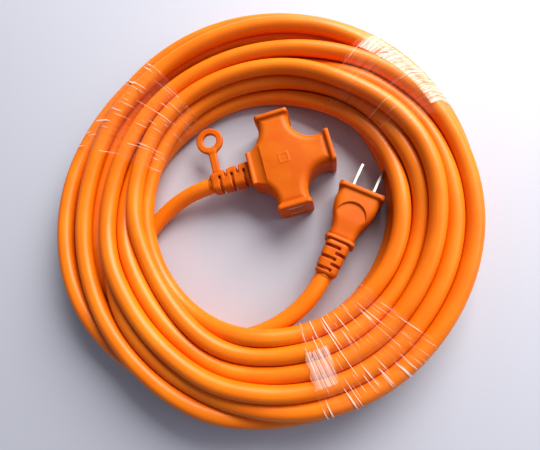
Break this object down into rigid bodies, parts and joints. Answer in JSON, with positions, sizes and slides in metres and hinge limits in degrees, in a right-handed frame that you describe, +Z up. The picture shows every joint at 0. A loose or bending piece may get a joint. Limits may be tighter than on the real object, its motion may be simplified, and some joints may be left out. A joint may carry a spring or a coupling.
{
  "type": "extension cord",
  "caption": "Round two-core extension cord, coiled and tied with clear film, with a moulded triple tap, a hanging loop and a moulded two-blade plug inside the coil.",
  "frame": {"origin": "on the surface that the coil lies on, at the coil's centre", "axes": "+Z up out of the surface along the coil's axis; the tap points mostly towards +X and the plug mostly towards +Y"},
  "size_m": [0.266, 0.266, 0.0292],
  "materials": {
    "cord_sheath": "satin",
    "moulding": "satin",
    "film": "clear stretch film",
    "carrier": "satin",
    "brass": "stamped",
    "blade_plate": "nickel plated",
    "core_white": "smooth",
    "core_black": "smooth"
  },
  "bodies": {
    "cord": {"cord_coil": "cord_sheath", "tap_lead": "cord_sheath", "plug_lead": "cord_sheath", "film_tie_west": "film", "film_tie_north": "film", "film_tie_south": "film", "tap_boot": "moulding", "plug_boot": "moulding"},
    "tap": {"tap_body": "moulding", "carrier_upper": "carrier", "carrier_lower": "carrier", "bus_bar_upper": "brass", "bus_bar_lower": "brass", "contact_left_upper": "brass", "contact_left_lower": "brass", "contact_end_upper": "brass", "contact_end_lower": "brass", "contact_right_upper": "brass", "contact_right_lower": "brass", "tap_crimp_upper": "brass", "tap_crimp_lower": "brass", "tap_core_white": "core_white", "tap_core_black": "core_black"},
    "plug": {"plug_body": "moulding", "blade_carrier": "carrier", "blade_left": "blade_plate", "blade_right": "blade_plate", "plug_crimp_left": "brass", "plug_crimp_right": "brass", "plug_core_white": "core_white", "plug_core_black": "core_black"},
    "loop": {"hang_loop": "moulding"}
  },
  "joints": [
    {"name": "tap_lift", "type": "hinge", "parent": "cord", "child": "tap", "pos_m": [-0.02072, 0.01906, 0.0135], "axis": [0.2588, -0.9659, 0], "range_deg": [0, 25], "stiffness_Nm_per_rad": 0.05, "deforming": ["tap_boot", "tap_lead"]},
    {"name": "plug_lift", "type": "hinge", "parent": "cord", "child": "plug", "pos_m": [0.03993, -0.03177, 0.01468], "axis": [0.91, -0.4147, 0], "range_deg": [0, 25], "stiffness_Nm_per_rad": 0.05, "deforming": ["plug_boot", "plug_lead"]},
    {"name": "hang_loop_flex", "type": "hinge", "parent": "cord", "child": "loop", "pos_m": [-0.03129, 0.02471, 0.0135], "axis": [0.9659, 0.2588, 0], "range_deg": [-20, 60], "stiffness_Nm_per_rad": 0.02}
  ]
}
